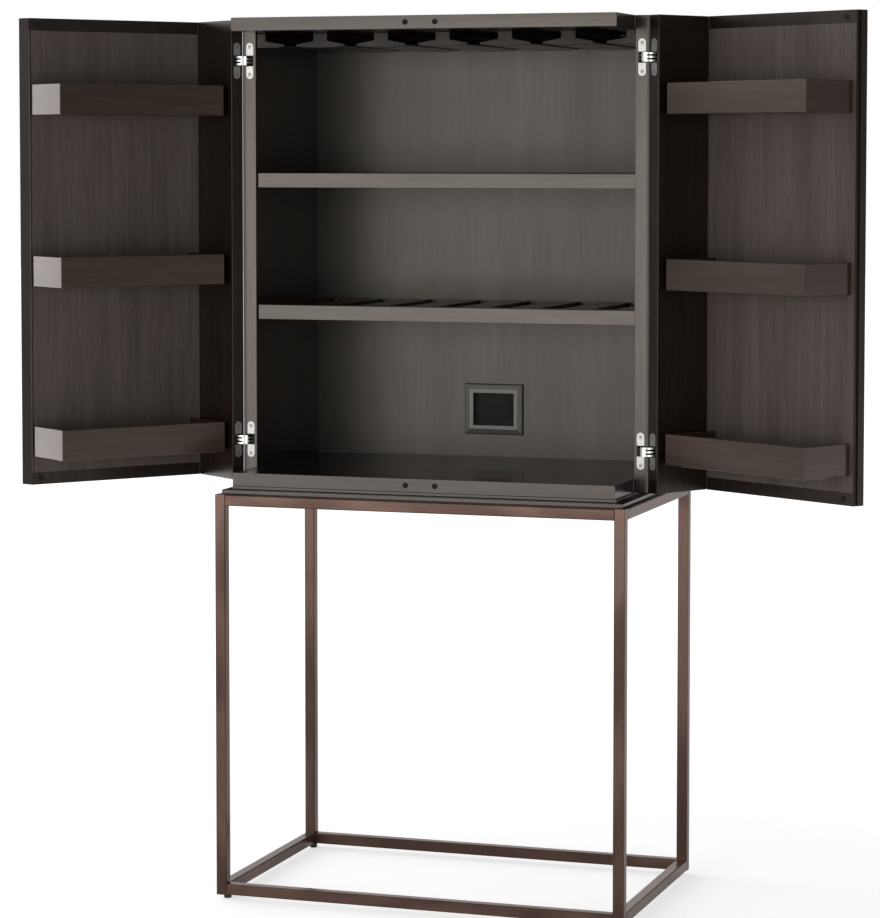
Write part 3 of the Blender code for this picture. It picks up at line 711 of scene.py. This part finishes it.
# Dust seals: slim flexible beads along the two hinge lines, each with a thin tongue that is glued
# on the front edge of the side panel. They close the gap beside the open door.
SEAL_TONES = ((0.0800, 0.0745, 0.0680, 1.0), (0.1250, 0.1190, 0.1100, 1.0))
SEAL_ROUGHNESS = (0.45, 0.60)
BLOOM_GRAIN = (1800.0, 30.0, 2.0)
BLOOM_PLACES = (0.35, 0.70)
SEAL_SIDES = 20
SEAL_SMOOTHING = radians(35)
SEAL_RADIUS = 0.0009
SEAL_END_GAP = 0.001
TONGUE_WIDTH = 0.0042
TONGUE_THICKNESS = 0.00045
TONGUE_TAPER = (1.0, 0.6, 1.0)
TONGUE_FROM_AXIS = 0.00048
SEAL_TURNS = {"left": 0.0, "right": radians(180)}


def flexible(name):
    """Matt grey elastomer with a fine bloom along the bead."""
    finish, tree, shader = new_finish(name)
    bloom = grain_noise(tree, along_piece(tree, UPRIGHT), BLOOM_GRAIN)
    look = {
        "Base Color": colour_steps(tree, bloom, BLOOM_PLACES, SEAL_TONES),
        "Roughness": spread(tree, bloom, SEAL_ROUGHNESS),
    }
    set_inputs(tree, shader, look)
    return finish


panel_low, panel_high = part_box("side_panel_left")
seal_length = panel_high[2] - panel_low[2] - 2 * SEAL_END_GAP
seal_middle = (panel_high[2] + panel_low[2]) / 2
bpy.ops.mesh.primitive_cylinder_add(vertices=SEAL_SIDES, radius=SEAL_RADIUS, depth=seal_length)
seal = bpy.context.object
seal.name = "seal_model"
bpy.ops.mesh.primitive_cube_add(
    size=1.0,
    location=(TONGUE_WIDTH / 2, TONGUE_FROM_AXIS, 0.0),
    scale=(TONGUE_WIDTH, TONGUE_THICKNESS, seal_length),
)
tongue = bpy.context.object
bpy.ops.object.transform_apply(location=True, rotation=True, scale=True)
edit_faces(tongue, lambda face: face.normal.x > FLAT_LIMIT)
bpy.ops.transform.resize(value=TONGUE_TAPER)
bpy.ops.object.mode_set(mode="OBJECT")
carve(seal, tongue, "UNION")
bpy.ops.object.shade_smooth_by_angle(angle=SEAL_SMOOTHING)
seal.data.materials.append(flexible("seal_elastomer"))
for side, (axis, _) in hinges.items():
    facing_side = Matrix.Rotation(SEAL_TURNS[side], 4, "Y")
    piece = copy_at(seal, f"dust_seal_{side}", facing_side, (axis.x, axis.y, seal_middle))
    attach(piece, "carcass")
bpy.data.objects.remove(seal, do_unlink=True)

# Studio floor: pale matt paper, rolled out far beyond the cabinet. It is lit enough to run out to
# white, and the polished tubes mirror only a part of that light.
FLOOR_SIZE = 60.0
PAPER_GREY, PAPER_ROUGHNESS = (0.82, 0.82, 0.82, 1.0), 0.9
WHITE = (1.0, 1.0, 1.0, 1.0)
GLOW_START, GLOW_END = 0.9, 3.2
GLOW_NEAR, GLOW_FAR = 0.60, 0.85
MIRROR_START, MIRROR_END = -2.6, -1.4
MIRROR_SHARE = 0.55


def mirrored_ray(tree, path):
    """One for a ray that a shiny or a clear surface has sent on."""
    return math_node(tree, "MAXIMUM", path["Is Glossy Ray"], path["Is Transmission Ray"])


scene = bpy.context.scene
scene.view_settings.view_transform = "Standard"
bpy.ops.mesh.primitive_plane_add(size=FLOOR_SIZE)
floor = bpy.context.object
floor.name = "studio_floor"
paper, tree, shader = new_finish("studio_paper")
place = object_place(tree)
away = shader_node(tree, "ShaderNodeVectorMath", {0: place}, operation="LENGTH").outputs["Value"]
glow = map_range(tree, away, GLOW_START, GLOW_END, GLOW_NEAR, GLOW_FAR)
behind = map_range(tree, axis_share(tree, place, "Y"), MIRROR_START, MIRROR_END)
path = shader_node(tree, "ShaderNodeLightPath", {}).outputs
dimmed = math_node(tree, "MULTIPLY", behind, MIRROR_SHARE)
mirrored = math_node(tree, "MULTIPLY", mirrored_ray(tree, path), dimmed)
seen = math_node(tree, "MAXIMUM", path["Is Camera Ray"], mirrored)
look = {
    "Base Color": PAPER_GREY,
    "Roughness": PAPER_ROUGHNESS,
    "Emission Color": WHITE,
    "Emission Strength": math_node(tree, "MULTIPLY", glow, seen),
}
set_inputs(tree, shader, look)
floor.data.materials.append(paper)

# Studio light: white walls, brighter towards the left than the right and white to the camera.
# Two soft boxes stand in front, on the left and on the right, and one at the left.
BRIGHT_WAY = (-0.9659, 0.2588, 0.0)
BRIGHT_START, BRIGHT_END = -0.05, 0.50
DIM_LEVEL, BRIGHT_LEVEL = 0.19, 0.87
MATT_SHARE = 0.9


def soft_box(name, place, aim_height, size, watts):
    """A rectangular soft box that faces the middle of the cabinet at some height."""
    bpy.ops.object.light_add(type="AREA", location=place)
    lamp = bpy.context.object
    lamp.name = name
    lamp.data.shape = "RECTANGLE"
    lamp.data.size, lamp.data.size_y = size
    lamp.data.energy = watts
    aim = Vector((0.0, 0.0, aim_height))
    lamp.rotation_euler = (aim - Vector(place)).to_track_quat("-Z", "Y").to_euler()


world = bpy.data.worlds.new("studio")
world.use_nodes = True
scene.world = world
tree = world.node_tree
tree.nodes.clear()
direction = shader_node(tree, "ShaderNodeTexCoord", {}).outputs["Generated"]
compared = {0: direction, 1: BRIGHT_WAY}
towards = shader_node(tree, "ShaderNodeVectorMath", compared, operation="DOT_PRODUCT")
levels = (BRIGHT_START, BRIGHT_END, DIM_LEVEL, BRIGHT_LEVEL)
around = map_range(tree, towards.outputs["Value"], *levels)
path = shader_node(tree, "ShaderNodeLightPath", {}).outputs
mirrored = mirrored_ray(tree, path)
share = math_node(tree, "MULTIPLY_ADD", mirrored, 1.0 - MATT_SHARE, MATT_SHARE)
lit = math_node(tree, "MULTIPLY", around, share)
seen = math_node(tree, "MAXIMUM", lit, path["Is Camera Ray"])
walls = shader_node(tree, "ShaderNodeBackground", {"Color": WHITE, "Strength": seen})
shader_node(tree, "ShaderNodeOutputWorld", {"Surface": walls.outputs["Background"]})
soft_box("front_box", place=(-2.00, -6.18, 1.18), aim_height=1.1, size=(5.0, 2.6), watts=135.0)
soft_box("fill_box", place=(3.86, -4.60, 1.25), aim_height=1.1, size=(2.8, 2.4), watts=62.0)
soft_box("left_box", place=(-4.20, 1.50, 1.30), aim_height=1.2, size=(2.4, 2.4), watts=50.0)

# Camera: a long lens, far off on the right of the middle and a little below the top of the cabinet.
# It tips down slightly, and its picture is shifted to hold the whole cabinet.
CAMERA_PLACE = (1.89145, -5.75945, 1.44512)
CAMERA_TURN = (radians(86.416), radians(-0.009), radians(18.525))
CAMERA_SENSOR, CAMERA_LENS = 36.0, 129.07
CAMERA_SHIFT = -0.125
bpy.ops.object.camera_add(location=CAMERA_PLACE, rotation=CAMERA_TURN)
camera = bpy.context.object
camera.data.sensor_fit = "HORIZONTAL"
camera.data.sensor_width = CAMERA_SENSOR
camera.data.lens = CAMERA_LENS
camera.data.shift_y = CAMERA_SHIFT
scene.camera = camera
